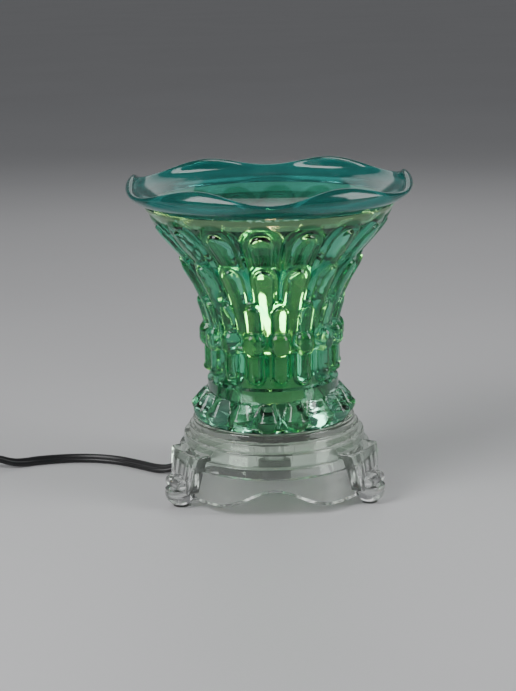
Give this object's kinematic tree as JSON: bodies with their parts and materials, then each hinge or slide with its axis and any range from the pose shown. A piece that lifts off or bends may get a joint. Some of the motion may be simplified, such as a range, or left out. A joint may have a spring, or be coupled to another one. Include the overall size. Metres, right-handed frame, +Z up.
{
  "type": "wax melt warmer",
  "caption": "Electric wax melt warmer: lift-off ruffled glass dish on a pressed green glass vase, clear legged glass base, lamp inside, corded with in-line dimmer.",
  "frame": {"origin": "on the floor under the middle of the three-legged base, measured without the free cord", "axes": "+Z up along the vase; the side shown in the picture faces -Y, +X to its right"},
  "size_m": [0.4055, 0.1566, 0.1727],
  "materials": {
    "clear_glass": "polished pressed glass, clear",
    "green_glass": "polished pressed glass, emerald green",
    "teal_glass": "smooth blown glass, teal green",
    "silicone": "clear soft silicone",
    "zinc_steel": "bright zinc-plated steel",
    "washer_rubber": "matt black rubber",
    "ceramic": null,
    "brass": "bare brass spring strip",
    "wire_sleeve": "white heat-proof sleeve",
    "bulb_glass": "thin clear lamp glass",
    "nickel": "nickel-plated metal",
    "black_plastic": "satin black moulded plastic",
    "black_rubber": "black flexible PVC",
    "cord_black": "black PVC twin cord",
    "wheel_plastic": "matt black thumb wheel",
    "board": "paper-phenolic circuit board"
  },
  "bodies": {
    "lamp": {"base_glass": "clear_glass", "foot_pads": "silicone", "vase_glass": "green_glass", "vase_bond": "silicone", "threaded_tube": "zinc_steel", "soft_washers": "washer_rubber", "steel_washer": "zinc_steel", "hex_nuts": "zinc_steel", "socket_bracket": "zinc_steel", "lampholder": "ceramic", "lampholder_contacts": "brass", "lampholder_screws": "zinc_steel", "lead_wires": "wire_sleeve", "cord_outlet": "black_plastic", "cord_gland": "black_rubber", "cord_free": "cord_black", "dimmer_case_bottom": "black_plastic", "dimmer_case_top": "black_plastic", "dimmer_screws": "zinc_steel", "dimmer_board": "board", "dimmer_triac": "black_plastic", "dimmer_pot": "board", "dimmer_boots": "black_rubber", "cord_coil": "cord_black", "cord_lead": "cord_black", "cord_tail": "cord_black", "plug_relief": "black_rubber", "plug_body": "black_plastic", "plug_blades": "nickel"},
    "dish": {"dish": "teal_glass"},
    "bulb": {"bulb_reflector": "bulb_glass", "bulb_cap": "ceramic", "bulb_pins": "nickel", "bulb_lens": "bulb_glass", "bulb_capsule": "bulb_glass"},
    "thumb_wheel": {"dimmer_wheel": "wheel_plastic", "dimmer_spindle": "nickel"}
  },
  "joints": [
    {"name": "dish_lift", "type": "slide", "parent": "lamp", "child": "dish", "axis": [0, 0, 1], "range_m": [0, 0.045]},
    {"name": "bulb_turn", "type": "hinge", "parent": "lamp", "child": "bulb", "pos_m": [0, 0, 0.078], "axis": [0, 0, 1], "range_deg": [0, 20]},
    {"name": "dimmer_turn", "type": "hinge", "parent": "lamp", "child": "thumb_wheel", "pos_m": [-0.213, 0.038, 0.009], "axis": [0, 0, 1], "range_deg": [0, 270]}
  ]
}
